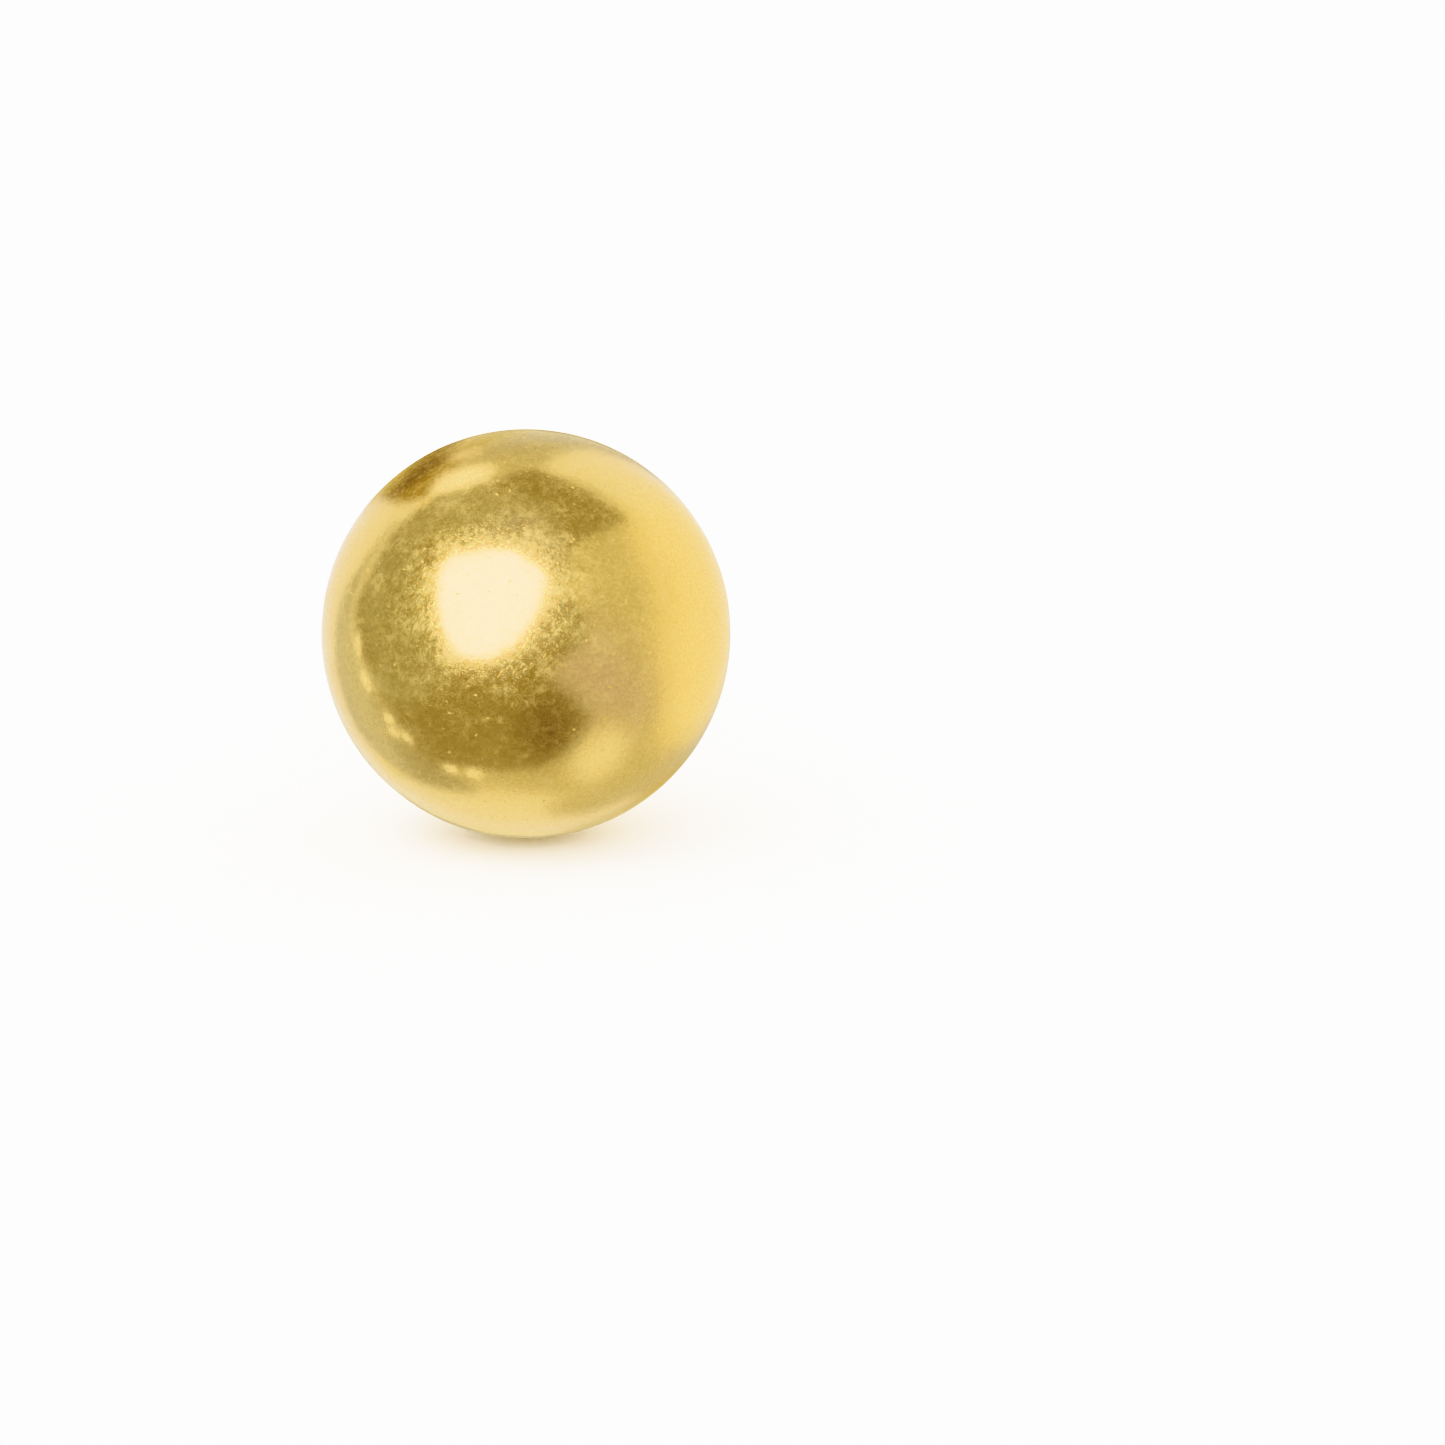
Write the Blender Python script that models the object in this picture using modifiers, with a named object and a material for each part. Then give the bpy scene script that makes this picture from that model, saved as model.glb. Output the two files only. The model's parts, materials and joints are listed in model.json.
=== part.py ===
"""A ball stud earring: a hollow gold ball on a post, with its butterfly back pushed on.

Metres, +Z up. The stud lies as it does when it is put down: the ball and the lower edge of
the butterfly back's plate touch the plane z = 0. The ball faces -Y, and the post runs back
towards +Y and slopes down to its tip. The origin is the middle of the bounding box's base.

In the stud's own frame the ball's centre is the origin and the post runs along +Z. X is
level, and Y points down, towards the surface that the stud lies on.
"""

import math

import bmesh
import bpy
from mathutils import Vector

MM = 0.001

# The ball, a seamless hollow bead
BALL_DIAMETER = 10.0 * MM
BALL_WALL = 0.3 * MM
VENT_DIAMETER = 0.6 * MM  # lets the hot air out while the post is soldered on
VENT_TO_SOLDER = 0.35 * MM  # metal left between the vent and the solder

# The post, a round wire soldered to the back of the ball
POST_DIAMETER = 0.9 * MM
POST_LENGTH = 10.0 * MM  # from the back of the ball to the tip
SOLDER_RADIUS = 0.45 * MM  # hollow round of solder where the post meets the ball
TIP_CHAMFER = 0.2 * MM
GROOVE_DEPTH = 0.09 * MM
GROOVE_WIDTH = 0.7 * MM
GROOVE_FLOOR = 0.25 * MM  # width of the groove's level bottom
GROOVE_TO_TIP = 2.2 * MM  # from the groove's middle

# The butterfly back, one strip of sheet with both ends rolled in on to the post
SHEET = 0.3 * MM
PLATE_HEIGHT = 4.4 * MM
SHOULDER = 0.4 * MM  # length over which the plate narrows to the arms
ARM_HEIGHT = 2.8 * MM
ROLL_DIAMETER = 2.6 * MM
ROLL_TURNS = 1.25
ROLL_GAP = 0.2 * MM  # between the turns of a roll
SLIDE_GAP = 0.1 * MM  # between the post and what grips it

# How finely the round shapes are cut
BALL_STEPS = 64
CAVITY_STEPS = 48
DRILL_STEPS = 32
DRILL_LENGTH = 4.0  # in thicknesses of the wall that the drill goes through
ARC_STEP = math.radians(5.6)
SOLDER_STEP = math.radians(20.0)
ROLL_STEP = math.radians(12.0)
SHOULDER_STEPS = 6
CRISP_EDGE = math.radians(35.0)
MERGE = 1e-6

BALL_R = BALL_DIAMETER / 2
POST_R = POST_DIAMETER / 2
TIP_Z = BALL_R + POST_LENGTH
GROOVE_Z = TIP_Z - GROOVE_TO_TIP

# The solder's hollow round leaves the post at SOLDER_Z and meets the ball on its own line to the centre.
SOLDER_X = POST_R + SOLDER_RADIUS
SOLDER_Z = math.sqrt((BALL_R + SOLDER_RADIUS) ** 2 - SOLDER_X**2)
SOLDER_ANGLE = math.atan2(SOLDER_X, SOLDER_Z)

# The rolls are centred on the groove, and the plate lies along the front of them.
ROLL_R = (ROLL_DIAMETER - SHEET) / 2
ROLL_PITCH = SHEET + ROLL_GAP
PLATE_FACE_Z = GROOVE_Z - ROLL_DIAMETER / 2
PLATE_MIDDLE_Z = PLATE_FACE_Z + SHEET / 2


def roll_radius(turned):
    """Radius of a roll's middle line once it has turned by this angle from the plate."""
    return ROLL_R - ROLL_PITCH * turned / math.tau


ROLL_X = POST_R + SLIDE_GAP + SHEET / 2 + roll_radius(1.5 * math.pi)

# Edges that may touch the surface, as (distance along the post, distance out from its axis)
REACHES = [
    (PLATE_FACE_Z + SHEET, PLATE_HEIGHT / 2),
    (GROOVE_Z + roll_radius(math.pi) + SHEET / 2, ARM_HEIGHT / 2),
    (TIP_Z - TIP_CHAMFER, POST_R),
    (TIP_Z, POST_R - TIP_CHAMFER),
]

# The post slopes until the first of those edges is level with the bottom of the ball.
TILT = min(
    math.asin(BALL_R / math.hypot(along, out)) - math.atan2(out, along) for along, out in REACHES
)
REAR_Y = max(along * math.cos(TILT) + out * math.sin(TILT) for along, out in REACHES)
BALL_CENTRE = Vector((0.0, (BALL_R - REAR_Y) / 2, BALL_R))


def clear_scene():
    for obj in list(bpy.data.objects):
        bpy.data.objects.remove(obj, do_unlink=True)


def new_collection(name):
    collection = bpy.data.collections.new(name)
    bpy.context.scene.collection.children.link(collection)
    return collection


def gold(name, colour, roughness):
    material = bpy.data.materials.new(name)
    material.use_nodes = True
    shader = material.node_tree.nodes["Principled BSDF"]
    shader.inputs["Base Color"].default_value = (*colour, 1.0)
    shader.inputs["Metallic"].default_value = 1.0
    shader.inputs["Roughness"].default_value = roughness
    return material


def mesh_object(name, shape, collection, frame):
    """An object in the stud's own frame that takes the mesh being edited."""
    mesh = bpy.data.meshes.new(name)
    shape.to_mesh(mesh)
    shape.free()
    obj = bpy.data.objects.new(name, mesh)
    collection.objects.link(obj)
    obj.parent = frame
    return obj


def cutter(name, shape, collection, frame):
    obj = mesh_object(name, shape, collection, frame)
    obj.hide_render = True
    obj.display_type = "WIRE"
    return obj


def drill(name, diameter, wall, place, collection, frame):
    """A round cutter along the post's direction, centred on its place in the wall."""
    shape = bmesh.new()
    bmesh.ops.create_cone(
        shape,
        cap_ends=True,
        segments=DRILL_STEPS,
        radius1=diameter / 2,
        radius2=diameter / 2,
        depth=DRILL_LENGTH * wall,
    )
    obj = cutter(name, shape, collection, frame)
    obj.location = place
    return obj


def cut(obj, tool):
    boolean = obj.modifiers.new(tool.name, "BOOLEAN")
    boolean.operation = "DIFFERENCE"
    boolean.solver = "EXACT"
    boolean.object = tool


def chain(shape, points):
    """Edges from each point to the next."""
    verts = [shape.verts.new(point) for point in points]
    return [shape.edges.new(pair) for pair in zip(verts, verts[1:])]


def arc(centre, radius, start, end, step):
    """Points (x, z) on an arc, both ends included; the angles run from +Z towards +X."""
    count = math.ceil(abs(end - start) / step)
    angles = [start + (end - start) * i / count for i in range(count + 1)]
    return [(centre[0] + radius * math.sin(a), centre[1] + radius * math.cos(a)) for a in angles]


def ball_and_post_profile():
    """Half outline (x, z), from the middle of the tip down to the front of the ball."""
    tip = [(0.0, TIP_Z), (POST_R - TIP_CHAMFER, TIP_Z), (POST_R, TIP_Z - TIP_CHAMFER)]
    groove = [
        (POST_R, GROOVE_Z + GROOVE_WIDTH / 2),
        (POST_R - GROOVE_DEPTH, GROOVE_Z + GROOVE_FLOOR / 2),
        (POST_R - GROOVE_DEPTH, GROOVE_Z - GROOVE_FLOOR / 2),
        (POST_R, GROOVE_Z - GROOVE_WIDTH / 2),
    ]
    solder = arc(
        (SOLDER_X, SOLDER_Z), SOLDER_RADIUS, 1.5 * math.pi, math.pi + SOLDER_ANGLE, SOLDER_STEP
    )
    ball = arc((0.0, 0.0), BALL_R, SOLDER_ANGLE, math.pi, ARC_STEP)
    return tip + groove + solder + ball[1:-1] + [(0.0, -BALL_R)]


def ball_and_post(parts, cutters, frame):
    """The ball and its post, one turned piece because they are soldered, then hollowed."""
    shape = bmesh.new()
    chain(shape, [(x, 0.0, z) for x, z in ball_and_post_profile()])
    obj = mesh_object("ball_and_post", shape, parts, frame)
    turn = obj.modifiers.new("turn", "SCREW")
    turn.axis = "Z"
    turn.steps = turn.render_steps = BALL_STEPS
    turn.use_merge_vertices = True
    turn.merge_threshold = MERGE

    hollow = bmesh.new()
    bmesh.ops.create_uvsphere(
        hollow,
        u_segments=CAVITY_STEPS,
        v_segments=CAVITY_STEPS // 2,
        radius=BALL_R - BALL_WALL,
    )
    cut(obj, cutter("hollow", hollow, cutters, frame))

    vent_out = BALL_R * math.sin(SOLDER_ANGLE) + VENT_TO_SOLDER + VENT_DIAMETER / 2
    vent_z = math.sqrt(BALL_R**2 - vent_out**2) - BALL_WALL / 2
    cut(obj, drill("vent", VENT_DIAMETER, BALL_WALL, (0.0, vent_out, vent_z), cutters, frame))
    return obj


def strip_path():
    """Half the butterfly back's middle line, as (x, half height of the strip, z)."""
    plate_end = ROLL_X - SHOULDER
    path = [(0.0, PLATE_HEIGHT / 2, PLATE_MIDDLE_Z)]
    for i in range(SHOULDER_STEPS + 1):
        turned = 0.5 * math.pi * i / SHOULDER_STEPS
        half = ARM_HEIGHT / 2 + (PLATE_HEIGHT - ARM_HEIGHT) / 2 * math.cos(turned)
        path.append((plate_end + SHOULDER * math.sin(turned), half, PLATE_MIDDLE_Z))
    roll_steps = math.ceil(ROLL_TURNS * math.tau / ROLL_STEP)
    for i in range(1, roll_steps + 1):
        turned = ROLL_TURNS * math.tau * i / roll_steps
        x = ROLL_X + roll_radius(turned) * math.sin(turned)
        z = GROOVE_Z - roll_radius(turned) * math.cos(turned)
        path.append((x, ARM_HEIGHT / 2, z))
    return path


def butterfly_back(parts, cutters, frame):
    """One edge of half the strip, drawn out to its height, mirrored, thickened and drilled."""
    shape = bmesh.new()
    edge = chain(shape, strip_path())
    drawn = bmesh.ops.extrude_edge_only(shape, edges=edge)["geom"]
    for vert in drawn:
        if isinstance(vert, bmesh.types.BMVert):
            vert.co.y = -vert.co.y
    bmesh.ops.recalc_face_normals(shape, faces=shape.faces)
    obj = mesh_object("butterfly_back", shape, parts, frame)

    mirror = obj.modifiers.new("other_roll", "MIRROR")
    mirror.merge_threshold = MERGE
    sheet = obj.modifiers.new("sheet", "SOLIDIFY")
    sheet.thickness = SHEET
    sheet.offset = 0.0
    sheet.use_even_offset = True

    bore = POST_DIAMETER + 2 * SLIDE_GAP
    cut(obj, drill("post_hole", bore, SHEET, (0.0, 0.0, PLATE_MIDDLE_Z), cutters, frame))
    return obj


def finish(obj, material):
    """Apply the modifiers, shade the round faces smooth and give the piece its metal."""
    evaluated = obj.evaluated_get(bpy.context.evaluated_depsgraph_get())
    mesh = bpy.data.meshes.new_from_object(evaluated)
    mesh.name = obj.name
    mesh.shade_smooth()
    mesh.set_sharp_from_angle(angle=CRISP_EDGE)
    mesh.materials.clear()
    mesh.materials.append(material)
    obj.modifiers.clear()
    obj.data = mesh


def build():
    clear_scene()
    parts = new_collection("ball_stud_earring")
    cutters = new_collection("cutters")

    frame = bpy.data.objects.new("stud_frame", None)
    parts.objects.link(frame)
    frame.location = BALL_CENTRE
    frame.rotation_euler = (-(0.5 * math.pi + TILT), 0.0, 0.0)

    stud = ball_and_post(parts, cutters, frame)
    back = butterfly_back(parts, cutters, frame)
    finish(stud, gold("polished_gold", (1.0, 0.72, 0.2), 0.15))
    finish(back, gold("finding_gold", (1.0, 0.74, 0.26), 0.2))


build()
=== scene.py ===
"""A ball stud earring in polished gold, lying with its butterfly back on white paper.

Metres, +Z up, in the same frame as the solids. The shapes are made in the stud's own frame:
the ball's centre is the origin, the post runs along +Z, X is level and Y points down.
"""

import json
import math

import bmesh
import bpy
import numpy as np
from mathutils import Matrix, Vector


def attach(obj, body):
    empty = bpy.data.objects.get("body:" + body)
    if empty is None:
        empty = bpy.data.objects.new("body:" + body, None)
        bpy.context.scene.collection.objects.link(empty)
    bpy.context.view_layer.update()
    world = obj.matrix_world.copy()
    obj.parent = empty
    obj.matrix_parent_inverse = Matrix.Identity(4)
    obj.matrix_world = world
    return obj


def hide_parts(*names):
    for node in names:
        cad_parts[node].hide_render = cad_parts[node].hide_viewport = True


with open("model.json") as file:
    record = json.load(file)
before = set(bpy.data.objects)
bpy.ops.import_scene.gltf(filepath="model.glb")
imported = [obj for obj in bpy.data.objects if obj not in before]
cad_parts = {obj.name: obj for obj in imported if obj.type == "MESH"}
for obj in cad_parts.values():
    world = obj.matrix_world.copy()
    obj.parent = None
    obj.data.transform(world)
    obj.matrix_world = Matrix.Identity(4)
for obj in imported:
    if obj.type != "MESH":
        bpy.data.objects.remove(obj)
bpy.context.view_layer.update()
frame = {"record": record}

MM = 0.001

# Ball
BALL_R = 5.0 * MM
BALL_WALL = 0.3 * MM
VENT_R = 0.3 * MM
VENT_OUT = 1.49 * MM  # from the post's axis

# Post
POST_R = 0.45 * MM
POST_LENGTH = 10.0 * MM
SOLDER_RADIUS = 0.45 * MM
TIP_CHAMFER = 0.2 * MM
GROOVE_DEPTH = 0.09 * MM
GROOVE_WIDTH = 0.7 * MM
GROOVE_FLOOR = 0.25 * MM
GROOVE_TO_TIP = 2.2 * MM
SOFT_CORNER = 0.07 * MM  # how far a corner of the post is worn back

# The ball and post as turned
STEPS_ROUND = 240
WAVINESS = 0.012 * MM  # unevenness left by polishing by hand
WAVE_SCALE = 0.55 / MM
WAVE_TOP = 0.95  # the noise stays below this, so the unevenness only goes inwards
TURNED_SHARP = math.radians(50)  # edges that turn by more stay sharp

# Butterfly back
SHEET = 0.3 * MM
PLATE_HEIGHT = 4.4 * MM
SHOULDER = 0.4 * MM
ARM_HEIGHT = 2.8 * MM
ROLL_DIAMETER = 2.6 * MM
ROLL_TURNS = 1.25
ROLL_GAP = 0.2 * MM
SLIDE_GAP = 0.1 * MM
DISH_DEPTH = 0.1 * MM  # the funnel pressed round the post hole
DISH_WIDTH = 0.55 * MM
SHEET_EDGE = 0.06 * MM  # width of the tumbled edges
STRIP_ROWS = 33
TUMBLED_TURN = math.radians(40)  # edges that turn by more are tumbled
ROLLED_SHARP = math.radians(60)  # edges that turn by more stay sharp

WELD = 0.0005 * MM  # points closer than this become one

TIP_Z = BALL_R + POST_LENGTH
GROOVE_Z = TIP_Z - GROOVE_TO_TIP
PLATE_MIDDLE_Z = GROOVE_Z - ROLL_DIAMETER / 2 + SHEET / 2

# The photograph, in its own pixels
PHOTO_SIDE = 1445
BALL_PIXEL = (526.0, 633.5)
BALL_PIXEL_R = 205.0

# Table, lights and camera, in metres and watts
LEVEL = Vector((1.0, 0.0, 0.0))
FLOOR_REACH = 4.0
FLOOR_WHITE = (0.97, 0.97, 0.97, 1.0)
FLOOR_ROUGHNESS = 0.9
ROOM_STRENGTH = 3.5
LAMP_SIZE = 0.25
LAMP_POWER = 1.6
LAMP_PLACE = (-0.12, -0.08, 0.3)
CAMERA_DISTANCE = 0.3
SENSOR_WIDTH = 36.0  # millimetres
CAMERA_REACH = (0.01, 10.0)


def stud_matrix():
    """The stud's own frame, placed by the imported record's mount at the post's tip."""
    tip = next(m for m in frame["record"]["mounts"] if m["name"] == "post_tip")
    along = Vector(tip["axis"]).normalized()
    down = along.cross(LEVEL)
    turn = Matrix((LEVEL, down, along)).transposed()
    return Matrix.Translation(Vector(tip["pos_m"]) - along * TIP_Z) @ turn.to_4x4()


STUD = stud_matrix()


# Wiring nodes


def add(tree, kind, inputs=None, **settings):
    """A new node; each input takes a value, or a link if it is given another node's socket."""
    node = tree.nodes.new(kind)
    for name, value in settings.items():
        setattr(node, name, value)
    for name, value in (inputs or {}).items():
        if isinstance(value, bpy.types.NodeSocket):
            tree.links.new(value, node.inputs[name])
        else:
            node.inputs[name].default_value = value
    return node


def sum_of(tree, operation, *values):
    """The result of one step of arithmetic on values or sockets."""
    node = add(tree, "ShaderNodeMath", dict(enumerate(values)), operation=operation)
    return node.outputs[0]


def geometry_tree(name, inputs):
    """A geometry tree with a guide in, a mesh out and these named inputs."""
    tree = bpy.data.node_groups.new(name, "GeometryNodeTree")
    tree.interface.new_socket("Mesh", in_out="OUTPUT", socket_type="NodeSocketGeometry")
    tree.interface.new_socket("Guide", in_out="INPUT", socket_type="NodeSocketGeometry")
    for title, kind in inputs.items():
        tree.interface.new_socket(title, in_out="INPUT", socket_type=f"NodeSocket{kind}")
    return tree, tree.nodes.new("NodeGroupInput").outputs


def close_tree(tree, mesh, metal):
    """The tree's last steps: real geometry in its metal."""
    real = add(tree, "GeometryNodeRealizeInstances", {"Geometry": mesh})
    painted = add(
        tree, "GeometryNodeSetMaterial", {"Geometry": real.outputs[0], "Material": metal}
    )
    add(tree, "NodeGroupOutput", {"Mesh": painted.outputs[0]})


def guide_object(name, points):
    """A thread of edges through the points, for a tree to work from."""
    mesh = bpy.data.meshes.new(name)
    mesh.from_pydata(points, [(i, i + 1) for i in range(len(points) - 1)], [])
    obj = bpy.data.objects.new(name, mesh)
    bpy.context.scene.collection.objects.link(obj)
    return obj


def grown(obj, tree, values):
    """The object with the tree's result as its plain mesh."""
    modifier = obj.modifiers.new(tree.name, "NODES")
    modifier.node_group = tree
    for item in tree.interface.items_tree:
        if item.in_out == "INPUT" and item.name in values:
            modifier[item.identifier] = values[item.name]
    return settled(obj)


def settled(obj):
    """The object with its modifiers turned into a plain mesh."""
    bpy.context.view_layer.update()
    evaluated = obj.evaluated_get(bpy.context.evaluated_depsgraph_get())
    mesh = bpy.data.meshes.new_from_object(evaluated)
    obj.modifiers.clear()
    obj.data = mesh
    return obj


# Outlines


def arc(centre, radius, start, end, step):
    """Points (x, z) on an arc, both ends included; the angles run from +Z towards +X."""
    count = max(1, math.ceil(abs(end - start) / step))
    angles = [start + (end - start) * i / count for i in range(count + 1)]
    return [(centre[0] + radius * math.sin(a), centre[1] + radius * math.cos(a)) for a in angles]


def softened(points, radius, steps=4):
    """The line with each inner corner replaced by a short curve."""
    made = [points[0]]
    for before, corner, after in zip(points, points[1:], points[2:]):
        corner, back, on = Vector(corner), Vector(before), Vector(after)
        start = corner + (back - corner).normalized() * min(radius, (back - corner).length * 0.45)
        end = corner + (on - corner).normalized() * min(radius, (on - corner).length * 0.45)
        for i in range(steps + 1):
            t = i / steps
            made.append(tuple(start * (1 - t) ** 2 + corner * 2 * t * (1 - t) + end * t**2))
    return made + [points[-1]]


def ball_and_post_outline():
    """Half the outline (x, z), from the middle of the tip down to the front of the ball."""
    solder_x = POST_R + SOLDER_RADIUS
    solder_z = math.sqrt((BALL_R + SOLDER_RADIUS) ** 2 - solder_x**2)
    solder_angle = math.atan2(solder_x, solder_z)
    half = GROOVE_WIDTH / 2
    post = [
        (0.0, TIP_Z),
        (POST_R - TIP_CHAMFER, TIP_Z),
        (POST_R, TIP_Z - TIP_CHAMFER),
        (POST_R, GROOVE_Z + half),
        (POST_R - GROOVE_DEPTH, GROOVE_Z + GROOVE_FLOOR / 2),
        (POST_R - GROOVE_DEPTH, GROOVE_Z - GROOVE_FLOOR / 2),
        (POST_R, GROOVE_Z - half),
        (POST_R, solder_z),
    ]
    solder = arc(
        (solder_x, solder_z), SOLDER_RADIUS, 1.5 * math.pi, math.pi + solder_angle, math.radians(6)
    )
    ball = arc((0.0, 0.0), BALL_R, solder_angle, math.pi, math.radians(1.4))
    return softened(post, SOFT_CORNER) + solder[1:] + ball[1:-1] + [(0.0, -BALL_R)]


def roll_radius(turned):
    return (ROLL_DIAMETER - SHEET) / 2 - (SHEET + ROLL_GAP) * turned / math.tau


def strip_outline():
    """Half the butterfly back's middle line, as (x, half height of the strip, z)."""
    roll_x = POST_R + SLIDE_GAP + SHEET / 2 + roll_radius(1.5 * math.pi)
    plate_end = roll_x - SHOULDER
    flat_steps, shoulder_steps, roll_steps = 14, 12, 75
    points = []
    for i in range(flat_steps):
        points.append((plate_end * i / flat_steps, PLATE_HEIGHT / 2, PLATE_MIDDLE_Z))
    for i in range(shoulder_steps + 1):
        turned = 0.5 * math.pi * i / shoulder_steps
        half = ARM_HEIGHT / 2 + (PLATE_HEIGHT - ARM_HEIGHT) / 2 * math.cos(turned)
        points.append((plate_end + SHOULDER * math.sin(turned), half, PLATE_MIDDLE_Z))
    for i in range(1, roll_steps + 1):
        turned = ROLL_TURNS * math.tau * i / roll_steps
        x = roll_x + roll_radius(turned) * math.sin(turned)
        z = GROOVE_Z - roll_radius(turned) * math.cos(turned)
        points.append((x, ARM_HEIGHT / 2, z))
    return points


# Shapes


def guide_grid(tree, guide, across):
    """A grid, with the guide's place and the number of its row at each of its points."""
    count = add(tree, "GeometryNodeAttributeDomainSize", {"Geometry": guide}).outputs["Point Count"]
    grid = add(tree, "GeometryNodeMeshGrid", {"Vertices X": across, "Vertices Y": count})
    index = add(tree, "GeometryNodeInputIndex").outputs[0]
    place = add(tree, "GeometryNodeInputPosition").outputs[0]
    sample = add(tree, "GeometryNodeSampleIndex", data_type="FLOAT_VECTOR")
    tree.links.new(guide, sample.inputs["Geometry"])
    tree.links.new(place, sample.inputs["Value"])
    tree.links.new(sum_of(tree, "MODULO", index, count), sample.inputs["Index"])
    row = sum_of(tree, "FLOOR", sum_of(tree, "DIVIDE", index, count))
    split = add(tree, "ShaderNodeSeparateXYZ", {0: sample.outputs[0]}).outputs
    return grid.outputs["Mesh"], split, row


def turned_tree():
    """Turns the guide's outline round the post's axis, hollows the ball and drills its vent."""
    tree, given = geometry_tree(
        "turned_ball_and_post",
        {
            "Steps Round": "Int",
            "Cavity Radius": "Float",
            "Vent Radius": "Float",
            "Vent Place": "Vector",
            "Waviness": "Float",
            "Wave Scale": "Float",
            "Weld": "Float",
            "Metal": "Material",
        },
    )
    columns = sum_of(tree, "ADD", given["Steps Round"], 1)
    mesh, outline, row = guide_grid(tree, given["Guide"], columns)
    angle = sum_of(tree, "MULTIPLY", row, sum_of(tree, "DIVIDE", math.tau, given["Steps Round"]))
    place = add(
        tree,
        "ShaderNodeCombineXYZ",
        {
            "X": sum_of(tree, "MULTIPLY", outline["X"], sum_of(tree, "COSINE", angle)),
            "Y": sum_of(tree, "MULTIPLY", outline["X"], sum_of(tree, "SINE", angle)),
            "Z": outline["Z"],
        },
    )
    turned = add(tree, "GeometryNodeSetPosition", {"Geometry": mesh, "Position": place.outputs[0]})
    outwards = add(tree, "GeometryNodeFlipFaces", {"Mesh": turned.outputs[0]})
    welded = add(
        tree,
        "GeometryNodeMergeByDistance",
        {"Geometry": outwards.outputs[0], "Distance": given["Weld"]},
    )

    position = add(tree, "GeometryNodeInputPosition").outputs[0]
    waves = add(
        tree,
        "ShaderNodeTexNoise",
        {"Vector": position, "Scale": given["Wave Scale"], "Detail": 1.0},
    )
    below_top = sum_of(tree, "SUBTRACT", waves.outputs[0], WAVE_TOP)
    normal = add(tree, "GeometryNodeInputNormal").outputs[0]
    inwards = add(
        tree,
        "ShaderNodeVectorMath",
        {0: normal, "Scale": sum_of(tree, "MULTIPLY", below_top, given["Waviness"])},
        operation="SCALE",
    )
    wavy = add(
        tree,
        "GeometryNodeSetPosition",
        {"Geometry": welded.outputs[0], "Offset": inwards.outputs["Vector"]},
    )

    cavity = add(
        tree,
        "GeometryNodeMeshUVSphere",
        {"Segments": 96, "Rings": 48, "Radius": given["Cavity Radius"]},
    )
    drill = add(
        tree,
        "GeometryNodeMeshCylinder",
        {"Vertices": 48, "Radius": given["Vent Radius"], "Depth": 4 * BALL_WALL},
    )
    placed_drill = add(
        tree,
        "GeometryNodeTransform",
        {"Geometry": drill.outputs[0], "Translation": given["Vent Place"]},
    )
    hollow = add(
        tree,
        "GeometryNodeMeshBoolean",
        {"Mesh 1": wavy.outputs[0], "Mesh 2": cavity.outputs[0]},
        operation="DIFFERENCE",
        solver="EXACT",
    )
    tree.links.new(placed_drill.outputs[0], hollow.inputs["Mesh 2"])
    close_tree(tree, hollow.outputs["Mesh"], given["Metal"])
    return tree


def strip_tree():
    """Lays half the strip along the guide, with a dish round the post hole, and mirrors it."""
    tree, given = geometry_tree(
        "rolled_strip",
        {
            "Rows": "Int",
            "Dish Depth": "Float",
            "Dish Width": "Float",
            "Weld": "Float",
            "Metal": "Material",
        },
    )
    mesh, line, row = guide_grid(tree, given["Guide"], given["Rows"])
    last_row = sum_of(tree, "SUBTRACT", given["Rows"], 1)
    across = sum_of(tree, "MULTIPLY_ADD", sum_of(tree, "DIVIDE", row, last_row), 2.0, -1.0)
    y = sum_of(tree, "MULTIPLY", line["Y"], across)
    out = sum_of(
        tree,
        "ADD",
        sum_of(tree, "POWER", sum_of(tree, "DIVIDE", line["X"], given["Dish Width"]), 2.0),
        sum_of(tree, "POWER", sum_of(tree, "DIVIDE", y, given["Dish Width"]), 2.0),
    )
    fall = sum_of(tree, "EXPONENT", sum_of(tree, "MULTIPLY", out, -0.5))
    on_plate = sum_of(tree, "LESS_THAN", line["Z"], PLATE_MIDDLE_Z + SHEET / 4)
    dish = sum_of(
        tree, "MULTIPLY", sum_of(tree, "MULTIPLY", fall, given["Dish Depth"]), on_plate
    )
    place = add(
        tree,
        "ShaderNodeCombineXYZ",
        {"X": line["X"], "Y": y, "Z": sum_of(tree, "ADD", line["Z"], dish)},
    )
    laid = add(tree, "GeometryNodeSetPosition", {"Geometry": mesh, "Position": place.outputs[0]})
    other = add(
        tree,
        "GeometryNodeTransform",
        {"Geometry": laid.outputs[0], "Scale": (-1.0, 1.0, 1.0)},
    )
    flipped = add(tree, "GeometryNodeFlipFaces", {"Mesh": other.outputs[0]})
    both = add(tree, "GeometryNodeJoinGeometry")
    tree.links.new(laid.outputs[0], both.inputs[0])
    tree.links.new(flipped.outputs[0], both.inputs[0])
    welded = add(
        tree,
        "GeometryNodeMergeByDistance",
        {"Geometry": both.outputs[0], "Distance": given["Weld"]},
    )
    close_tree(tree, welded.outputs[0], given["Metal"])
    return tree


def place_in_frame(obj):
    """Moves the mesh from the stud's own frame into the model's and closes its slivers."""
    obj.data.transform(STUD)
    shape = bmesh.new()
    shape.from_mesh(obj.data)
    bmesh.ops.dissolve_degenerate(shape, dist=WELD / 2, edges=shape.edges)
    shape.to_mesh(obj.data)
    shape.free()
    obj.data.shade_smooth()
    return obj


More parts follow.
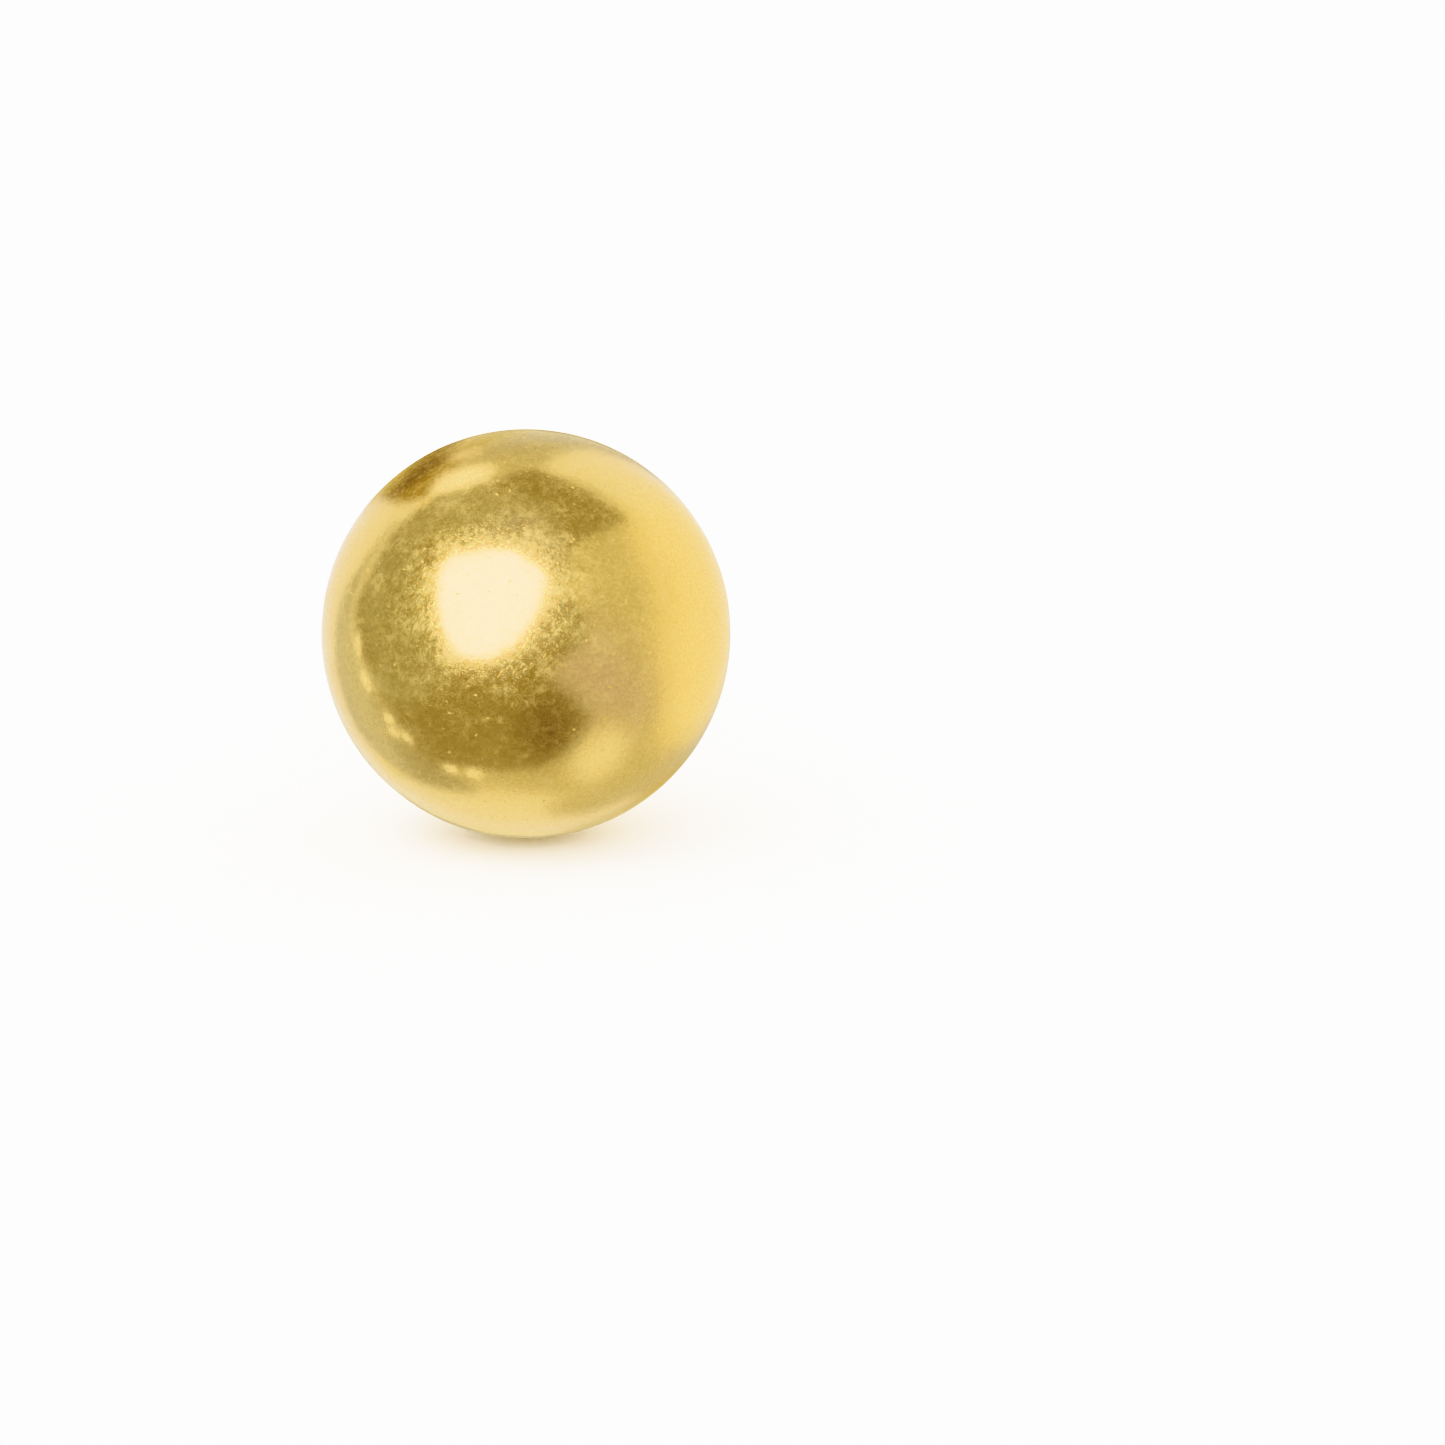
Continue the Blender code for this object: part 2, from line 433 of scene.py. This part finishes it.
def ball_and_post(metal):
    obj = guide_object("gold_ball_and_post", [(x, 0.0, z) for x, z in ball_and_post_outline()])
    vent_z = math.sqrt(BALL_R**2 - VENT_OUT**2) - BALL_WALL / 2
    sizes = {
        "Steps Round": STEPS_ROUND,
        "Cavity Radius": BALL_R - BALL_WALL,
        "Vent Radius": VENT_R,
        "Vent Place": (0.0, VENT_OUT, vent_z),
        "Waviness": WAVINESS,
        "Wave Scale": WAVE_SCALE,
        "Weld": WELD,
        "Metal": metal,
    }
    place_in_frame(grown(obj, turned_tree(), sizes))
    obj.data.set_sharp_from_angle(angle=TURNED_SHARP)
    return obj


def butterfly_back(metal):
    obj = guide_object("gold_butterfly_back", strip_outline())
    sizes = {
        "Rows": STRIP_ROWS,
        "Dish Depth": DISH_DEPTH,
        "Dish Width": DISH_WIDTH,
        "Weld": WELD,
        "Metal": metal,
    }
    grown(obj, strip_tree(), sizes)
    sheet = obj.modifiers.new("sheet", "SOLIDIFY")
    sheet.thickness = SHEET
    sheet.offset = 0.0
    sheet.use_even_offset = True
    settled(obj)

    drill = bmesh.new()
    bmesh.ops.create_cone(
        drill,
        cap_ends=True,
        segments=64,
        radius1=POST_R + SLIDE_GAP,
        radius2=POST_R + SLIDE_GAP,
        depth=4 * SHEET,
        matrix=Matrix.Translation((0.0, 0.0, PLATE_MIDDLE_Z)),
    )
    drill_mesh = bpy.data.meshes.new("drill")
    drill.to_mesh(drill_mesh)
    drill.free()
    drill_object = bpy.data.objects.new("drill", drill_mesh)
    bpy.context.scene.collection.objects.link(drill_object)
    hole = obj.modifiers.new("hole", "BOOLEAN")
    hole.object = drill_object
    edges = obj.modifiers.new("edges", "BEVEL")
    edges.width = SHEET_EDGE
    edges.segments = 3
    edges.limit_method = "ANGLE"
    edges.angle_limit = TUMBLED_TURN
    settled(obj)
    bpy.data.objects.remove(drill_object)
    place_in_frame(obj)
    obj.data.set_sharp_from_angle(angle=ROLLED_SHARP)
    return obj


# Metals. Their textures are laid out in millimetres in the stud's own frame.

GOLD = (0.98, 0.72, 0.22)
BROWNED_GOLD = (0.86, 0.58, 0.14)
PALE_GOLD = (1.0, 0.77, 0.27)


def metal(name):
    """A metal, its node tree, its shader and the place on the stud in millimetres."""
    material = bpy.data.materials.new(name)
    material.use_nodes = True
    tree = material.node_tree
    shader = tree.nodes["Principled BSDF"]
    shader.inputs["Metallic"].default_value = 1.0
    to_stud = STUD.inverted()
    place = add(
        tree,
        "ShaderNodeMapping",
        {
            "Vector": add(tree, "ShaderNodeTexCoord").outputs["Object"],
            "Scale": (1 / MM, 1 / MM, 1 / MM),
            "Rotation": to_stud.to_euler(),
            "Location": to_stud.translation / MM,
        },
    )
    return material, tree, shader, place.outputs[0]


def noise(tree, place, scale, detail=2.0, roughness=0.5):
    """Noise from 0 to 1, at this many cells to the millimetre."""
    node = add(
        tree,
        "ShaderNodeTexNoise",
        {"Vector": place, "Scale": scale, "Detail": detail, "Roughness": roughness},
    )
    return node.outputs["Fac"]


def stretched(tree, place, scale, turn=(0.0, 0.0, 0.0)):
    """The place scaled differently each way, for streaks."""
    node = add(tree, "ShaderNodeMapping", {"Vector": place, "Scale": scale, "Rotation": turn})
    node.vector_type = "TEXTURE"
    return node.outputs[0]


def ramp(tree, value, low, high, to_low=0.0, to_high=1.0):
    """A smooth step from to_low, where the value is low, to to_high, where it is high."""
    node = add(
        tree,
        "ShaderNodeMapRange",
        {
            "Value": value,
            "From Min": low,
            "From Max": high,
            "To Min": to_low,
            "To Max": to_high,
        },
        interpolation_type="SMOOTHSTEP",
    )
    return node.outputs["Result"]


def mixed(tree, factor, first, second, kind="RGBA"):
    """Two colours or two numbers, mixed."""
    a, b, out = {"RGBA": (6, 7, 2), "FLOAT": (2, 3, 0)}[kind]
    if kind == "RGBA":
        first, second = (
            (*c, 1.0) if isinstance(c, tuple) and len(c) == 3 else c for c in (first, second)
        )
    node = add(tree, "ShaderNodeMix", data_type=kind)
    for index, value in ((0, factor), (a, first), (b, second)):
        if isinstance(value, bpy.types.NodeSocket):
            tree.links.new(value, node.inputs[index])
        else:
            node.inputs[index].default_value = value
    return node.outputs[out]


def bump(tree, height, depth, under=None):
    """Fine relief of this depth in metres, laid over the relief under it."""
    inputs = {"Height": height, "Distance": depth}
    if under is not None:
        inputs["Normal"] = under
    return add(tree, "ShaderNodeBump", inputs).outputs["Normal"]


def hairlines(tree, place, turns):
    """Fine broken scratches along a few directions."""
    lines = None
    for turn in turns:
        streaks = noise(tree, stretched(tree, place, (0.7, 0.03, 0.03), turn), 1.0, 1.0)
        line = ramp(tree, streaks, 0.66, 0.74)
        lines = line if lines is None else sum_of(tree, "MAXIMUM", lines, line)
    return lines


def polished_gold():
    """Polished gold with the fine orange peel, pits and hairlines that a worn polish leaves."""
    material, tree, shader, place = metal("polished_gold")
    along = add(tree, "ShaderNodeSeparateXYZ", {0: place}).outputs["Z"]
    on_post = ramp(tree, along, 5.25, 5.5)

    peel = noise(tree, place, 5.5, detail=3.0, roughness=0.65)
    grit = noise(tree, place, 95.0, detail=1.0)
    grain = noise(tree, place, 13.0, detail=2.0, roughness=0.6)
    blotches = noise(tree, place, 1.6, detail=3.0, roughness=0.6)
    lines = hairlines(tree, place, ((0.3, 0.9, 0.2), (1.2, -0.4, 0.8), (-0.5, 0.3, -1.1)))
    drawn = noise(tree, stretched(tree, place, (0.05, 0.05, 2.5)), 1.0, 2.0)
    pits = ramp(tree, noise(tree, place, 7.0, detail=1.0), 0.72, 0.78)

    # Dull specks, which crowd together where the polish has worn
    peel_wear = sum_of(tree, "MULTIPLY_ADD", peel, 0.42, -0.21)
    blotch_wear = sum_of(tree, "MULTIPLY_ADD", blotches, 0.4, -0.2)
    wear = sum_of(tree, "ADD", peel_wear, blotch_wear)
    specks = ramp(tree, sum_of(tree, "ADD", grit, wear), 0.48, 0.82)
    specks = sum_of(tree, "MAXIMUM", specks, pits)
    ball_dull = ramp(tree, specks, 0.0, 1.0, 0.135, 0.66)
    ball_dull = sum_of(tree, "MULTIPLY_ADD", lines, 0.08, ball_dull)
    post_dull = ramp(tree, drawn, 0.3, 0.7, 0.14, 0.36)
    tree.links.new(mixed(tree, on_post, ball_dull, post_dull, "FLOAT"), shader.inputs["Roughness"])

    colour = mixed(tree, ramp(tree, peel, 0.3, 0.5, 0.3, 0.0), GOLD, BROWNED_GOLD)
    colour = mixed(tree, ramp(tree, grain, 0.35, 0.65, 0.55, 0.0), colour, BROWNED_GOLD)
    colour = mixed(tree, ramp(tree, blotches, 0.5, 0.7, 0.0, 0.3), colour, PALE_GOLD)
    tree.links.new(colour, shader.inputs["Base Color"])

    ball_normal = bump(tree, peel, 0.0022 * MM)
    ball_normal = bump(tree, sum_of(tree, "MAXIMUM", lines, pits), -0.0008 * MM, ball_normal)
    post_normal = bump(tree, drawn, 0.004 * MM)
    normal = add(tree, "ShaderNodeMix", data_type="VECTOR")
    tree.links.new(on_post, normal.inputs[0])
    tree.links.new(ball_normal, normal.inputs[4])
    tree.links.new(post_normal, normal.inputs[5])
    tree.links.new(normal.outputs[1], shader.inputs["Normal"])
    return material


def finding_gold():
    """Rolled gold sheet, a little duller, with the mill's lines running along the strip."""
    material, tree, shader, place = metal("finding_gold")
    mill = noise(tree, stretched(tree, place, (1.6, 0.035, 1.6)), 1.0, 3.0, roughness=0.6)
    peel = noise(tree, place, 7.0, detail=3.0, roughness=0.6)
    blotches = noise(tree, place, 1.4, detail=3.0)
    lines = hairlines(tree, place, ((0.2, 0.5, 0.7), (0.9, -0.6, 0.2)))

    dull = ramp(tree, mill, 0.3, 0.7, 0.16, 0.36)
    dull = sum_of(tree, "MULTIPLY", dull, ramp(tree, blotches, 0.35, 0.65, 0.75, 1.15))
    dull = sum_of(tree, "MULTIPLY_ADD", lines, 0.12, dull)
    tree.links.new(dull, shader.inputs["Roughness"])

    colour = mixed(tree, ramp(tree, blotches, 0.35, 0.6), BROWNED_GOLD, GOLD)
    colour = mixed(tree, ramp(tree, peel, 0.5, 0.75, 0.0, 0.6), colour, PALE_GOLD)
    tree.links.new(colour, shader.inputs["Base Color"])

    normal = bump(tree, mill, 0.003 * MM)
    normal = bump(tree, peel, 0.002 * MM, normal)
    normal = bump(tree, lines, -0.0015 * MM, normal)
    tree.links.new(normal, shader.inputs["Normal"])
    return material


# Light tent. Places in it are (right, up) in degrees away from the camera, seen from the ball.

TENT_R = 0.9
TENT_RING_STEP = 1.0
TENT_SPOKE_STEP = 1.5
ELLIPSE_POINTS = 24


def ellipse(right, up, half_right, half_up, turn=0.0):
    """The outline of an ellipse, turned about its own middle."""
    c, s = math.cos(math.radians(turn)), math.sin(math.radians(turn))
    points = []
    for i in range(ELLIPSE_POINTS):
        a = math.tau * i / ELLIPSE_POINTS
        x, y = half_right * math.cos(a), half_up * math.sin(a)
        points.append((right + c * x - s * y, up + s * x + c * y))
    return points


def rounded(points, steps=5):
    """A closed smooth line through the points."""
    made = []
    count = len(points)
    for i in range(count):
        a, b, c, d = (np.array(points[(i + k) % count], float) for k in (-1, 0, 1, 2))
        for t in (j / steps for j in range(steps)):
            made.append(
                0.5
                * (
                    2 * b
                    + (c - a) * t
                    + (2 * a - 5 * b + 4 * c - d) * t**2
                    + (3 * b - a - 3 * c + d) * t**3
                )
            )
    return [tuple(point) for point in made]


# The lights in the tent, as red, green and blue
DAYLIGHT = (7.2, 7.6, 9.2)
GAP_LIGHT = (1.6, 1.7, 2.1)
CREAM = (1.3, 1.3, 1.2)
WHITE = (1.1, 1.15, 1.35)
PALE = (0.95, 0.95, 0.9)
RIM_LIGHT = (1.05, 1.05, 0.8)
FOLD_GREY = (0.7, 0.75, 0.9)
WALL = (0.7, 0.7, 0.7)
LILAC = (0.65, 0.62, 0.85)
SHADE = (0.6, 0.6, 0.6)
GLOW = (0.55, 0.55, 0.7)
GREY = (0.5, 0.5, 0.5)
CURTAIN = (0.5, 0.5, 0.55)
DIM = (0.45, 0.45, 0.45)
DARK = (0.38, 0.35, 0.3)
BROWN = (0.2, 0.15, 0.15)
AMBER = (0.42, 0.32, 0.12)
DEEP_AMBER = (0.25, 0.18, 0.12)
WOOD = (0.7, 0.6, 0.25)
STRAW = (0.75, 0.7, 0.45)
SURROUND = (0.6, 0.55, 0.4)

ROOM_EDGE = [
    (62, 71), (44, 61), (26, 48), (15, 34), (20, 22), (34, 7), (30, -6), (16, -20), (20, -31),
    (36, -45), (36, -64), (20, -75), (0, -83), (-30, -84), (-60, -82), (-86, -46), (-104, -18),
    (-111, 14), (-101, 36), (-84, 66), (-60, 87), (-36, 90), (-12, 100), (4, 104), (24, 96),
    (44, 84),
]
CURTAIN_EDGE = [
    (-86, 72), (-106, 50), (-127, 26), (-134, 0), (-133, -32), (-122, -68), (-96, -88), (-66, -103),
    (-34, -103), (-40, -92), (-80, -60), (-118, 4),
]
WINDOW_EDGE = [
    (-43, 43), (-32, 45), (-20, 47), (-8, 46), (3, 39), (11, 32), (10, 22), (4, 8), (-4, -3),
    (-13, -10), (-21, -13), (-31, -13), (-40, -8), (-46, 4), (-49, 19), (-49, 35),
]

# Each panel: outline, width of its soft edge in degrees, and its light. Later ones lie in front.
PANELS = [
    ("shell", ellipse(0, 0, 163, 163), 8, RIM_LIGHT),
    ("paper", ellipse(30, 5, 160, 152), 25, WALL),
    ("left_sheet", ellipse(-120, 46, 62, 85, -50), 35, WHITE),
    ("left_rim", ellipse(-140, -55, 18, 75, 28), 20, WHITE),
    ("top_grey", ellipse(10, 130, 48, 18), 18, SHADE),
    ("top_light", ellipse(0, 145, 40, 10), 30, FOLD_GREY),
    ("top_right", rounded([(12, 104), (40, 95), (80, 72), (130, 50), (155, 84), (114, 124), (40, 132)]),
     18, WHITE),
    ("right_cream", ellipse(115, 18, 58, 92), 50, CREAM),
    ("wall", rounded([(16, 44), (50, 66), (84, 36), (86, 0), (82, -66), (60, -72), (40, -40), (20, 0)]),
     55, WALL),
    ("near_wall", ellipse(42, -25, 45, 24, -35), 50, LILAC),
    ("bottom", ellipse(-5, -126, 108, 24, -8), 20, WHITE),
    ("low_wall", ellipse(44, -115, 32, 15, 10), 20, WALL),
    ("corner", ellipse(97, -130, 44, 14, 33), 35, WOOD),
    ("low_corner", ellipse(55, -155, 30, 15, 10), 35, STRAW),
    ("curtain", rounded(CURTAIN_EDGE), 14, CURTAIN),
    ("curtain_fold", rounded([(-121, 30), (-134, -18), (-120, -62), (-84, -90), (-109, -16)]),
     18, FOLD_GREY),
    ("room", rounded(ROOM_EDGE), 7, DARK),
    ("arm", rounded([(62, 71), (44, 68), (28, 66), (14, 63), (8, 92), (26, 93), (42, 83)]), 4, DARK),
    ("left_room", rounded([(-104, 18), (-92, 46), (-70, 64), (-58, 42), (-34, -10), (-80, -46)]),
     10, DIM),
    ("top_room", rounded([(-65, 76), (-34, 90), (4, 80), (18, 70), (2, 42), (-70, 58)]), 12, GREY),
    ("brown_room", ellipse(14, -56, 14, 18), 40, BROWN),
    ("side_room", ellipse(26, 3, 8, 12), 14, DIM),
    ("amber", rounded([(-112, 104), (-87, 88), (-66, 89), (-58, 105), (-44, 117), (-32, 145),
                       (-76, 152), (-112, 130)]), 8, AMBER),
    ("amber_dark", ellipse(-78, 115, 25, 10, 42), 12, DEEP_AMBER),
    ("amber_left", ellipse(-112, 118, 20, 12, 50), 30, WOOD),
    ("streak", ellipse(-34, 150, 30, 14, 32), 26, STRAW),
    ("streak_low", ellipse(-44, 126, 13, 6, 25), 9, PALE),
    ("oval", ellipse(-41, 100, 20, 8, 16), 8, GAP_LIGHT),
    ("patch", ellipse(45, -76, 19, 14, 55), 26, WHITE),
    ("gap_1", ellipse(-108, -7, 2, 8), 2, GAP_LIGHT),
    ("gap_2", ellipse(-104, -26, 20, 3, -25), 15, FOLD_GREY),
    ("gap_3", ellipse(-103, -29, 3, 8, 18), 2, GAP_LIGHT),
    ("gap_4", ellipse(-87, -54, 4, 3, -15), 2, GAP_LIGHT),
    ("gap_5", ellipse(-85, -63, 5, 2.5, -20), 2, GAP_LIGHT),
    ("gap_6", ellipse(-75, -65, 4.5, 2.5, -30), 2, GAP_LIGHT),
    ("gap_7", ellipse(-47, -85, 5, 3, -20), 2, GAP_LIGHT),
    ("gap_8", ellipse(-32, -87, 5, 3, -5), 2, GAP_LIGHT),
    ("spot_1", ellipse(-65, 83, 6, 3, 20), 3, PALE),
    ("spot_2", ellipse(-52, 80, 5, 3, 10), 3, FOLD_GREY),
    ("glow", ellipse(-12, 26, 34, 48, -18), 20, GLOW),
    ("window", rounded(WINDOW_EDGE), 2, DAYLIGHT),
]


def edge_distance(x, y, outline):
    """How far each point lies inside the outline; negative outside."""
    nearest = np.full(x.shape, np.inf)
    inside = np.zeros(x.shape, bool)
    for (ax, ay), (bx, by) in zip(outline, outline[1:] + outline[:1]):
        dx, dy = bx - ax, by - ay
        t = np.clip(((x - ax) * dx + (y - ay) * dy) / (dx * dx + dy * dy), 0.0, 1.0)
        nearest = np.minimum(nearest, np.hypot(x - ax - t * dx, y - ay - t * dy))
        if ay != by:
            crosses = (ay > y) != (by > y)
            inside ^= crosses & (x < ax + (y - ay) * dx / dy)
    return np.where(inside, nearest, -nearest)


def tent_light(x, y):
    """The tent's light at these places: each panel is laid over those before it."""
    light = np.ones(x.shape + (1,)) * np.array(SURROUND)
    for _, outline, soft, colour in PANELS:
        t = np.clip(edge_distance(x, y, outline) / soft + 0.5, 0.0, 1.0)
        cover = (t * t * (3.0 - 2.0 * t))[..., None]
        light = light * (1.0 - cover) + np.array(colour) * cover
    return light


def light_tent():
    """A dome round the stud, which only the metal's reflections see."""
    rings = np.arange(0.0, 180.0 + TENT_RING_STEP / 2, TENT_RING_STEP)
    spokes = np.arange(0.0, 360.0, TENT_SPOKE_STEP)
    away, round_ = np.meshgrid(rings, np.radians(spokes), indexing="ij")
    x, y = away * np.cos(round_), away * np.sin(round_)
    light = tent_light(x, y).reshape(-1, 3)

    a = np.radians(away)
    towards_camera = -np.array(STUD.col[2].xyz)
    up = -np.array(STUD.col[1].xyz)
    side = np.cos(round_)[..., None] * np.array(LEVEL) + np.sin(round_)[..., None] * up
    points = np.cos(a)[..., None] * towards_camera + np.sin(a)[..., None] * side
    points = np.array(STUD.translation) + TENT_R * points.reshape(-1, 3)

    count = len(spokes)
    faces = []
    for i in range(len(rings) - 1):
        for j in range(count):
            k = (j + 1) % count
            faces.append((i * count + j, i * count + k, (i + 1) * count + k, (i + 1) * count + j))
    mesh = bpy.data.meshes.new("light_tent")
    mesh.from_pydata(points.tolist(), [], faces)
    colours = mesh.color_attributes.new("light", "FLOAT_COLOR", "POINT")
    colours.data.foreach_set("color", np.hstack([light, np.ones((len(light), 1))]).ravel())

    material = bpy.data.materials.new("tent_light")
    material.use_nodes = True
    material.cycles.emission_sampling = "NONE"
    tree = material.node_tree
    tree.nodes.clear()
    colour = add(tree, "ShaderNodeVertexColor", layer_name="light").outputs["Color"]
    glow = add(tree, "ShaderNodeEmission", {"Color": colour}).outputs[0]
    add(tree, "ShaderNodeOutputMaterial", {"Surface": glow})
    mesh.materials.append(material)

    tent = bpy.data.objects.new("light_tent", mesh)
    bpy.context.scene.collection.objects.link(tent)
    tent.visible_camera = False
    tent.visible_diffuse = False
    tent.visible_transmission = False
    tent.visible_shadow = False


def floor():
    """A plain white table top."""
    shape = bmesh.new()
    bmesh.ops.create_grid(shape, x_segments=1, y_segments=1, size=FLOOR_REACH)
    mesh = bpy.data.meshes.new("floor")
    shape.to_mesh(mesh)
    shape.free()
    material = bpy.data.materials.new("white_paper")
    material.use_nodes = True
    shader = material.node_tree.nodes["Principled BSDF"]
    shader.inputs["Base Color"].default_value = FLOOR_WHITE
    shader.inputs["Roughness"].default_value = FLOOR_ROUGHNESS
    mesh.materials.append(material)
    obj = bpy.data.objects.new("floor", mesh)
    bpy.context.scene.collection.objects.link(obj)
    obj.visible_glossy = False


def lamps():
    """A white room, and one big soft lamp above and to the left."""
    world = bpy.data.worlds.new("white_room")
    world.use_nodes = True
    background = world.node_tree.nodes["Background"]
    background.inputs["Color"].default_value = (1.0, 1.0, 1.0, 1.0)
    background.inputs["Strength"].default_value = ROOM_STRENGTH
    bpy.context.scene.world = world
    lamp = bpy.data.lights.new("soft_lamp", "AREA")
    lamp.shape = "DISK"
    lamp.size = LAMP_SIZE
    lamp.energy = LAMP_POWER
    obj = bpy.data.objects.new("soft_lamp", lamp)
    obj.location = LAMP_PLACE
    obj.rotation_euler = (-obj.location).to_track_quat("-Z", "Y").to_euler()
    obj.visible_glossy = False
    bpy.context.scene.collection.objects.link(obj)


def camera():
    """Looks along the post, so that the ball lands on its place in the photograph."""
    pixel = BALL_R / BALL_PIXEL_R
    towards_camera = -STUD.col[2].xyz
    up = -STUD.col[1].xyz
    right_of_ball = (PHOTO_SIDE / 2 - BALL_PIXEL[0]) * pixel
    above_ball = (BALL_PIXEL[1] - PHOTO_SIDE / 2) * pixel
    aim = STUD.translation + LEVEL * right_of_ball + up * above_ball
    data = bpy.data.cameras.new("camera")
    data.sensor_width = SENSOR_WIDTH
    to_outline = math.sqrt(CAMERA_DISTANCE**2 - BALL_R**2)
    data.lens = data.sensor_width * to_outline / (PHOTO_SIDE * pixel)
    obj = bpy.data.objects.new("camera", data)
    obj.location = aim + towards_camera * CAMERA_DISTANCE
    obj.rotation_euler = (-towards_camera).to_track_quat("-Z", "Y").to_euler()
    data.clip_start, data.clip_end = CAMERA_REACH
    bpy.context.scene.collection.objects.link(obj)
    bpy.context.scene.camera = obj


scene = bpy.context.scene
scene.view_settings.view_transform = "Khronos PBR Neutral"
camera()
lamps()
floor()
light_tent()

stud = ball_and_post(polished_gold())
back = butterfly_back(finding_gold())
for piece, node, slot in (
    (stud, "ball_and_post", "polished_gold"),
    (back, "butterfly_back", "finding_gold"),
):
    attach(piece, "root")
    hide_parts(node)
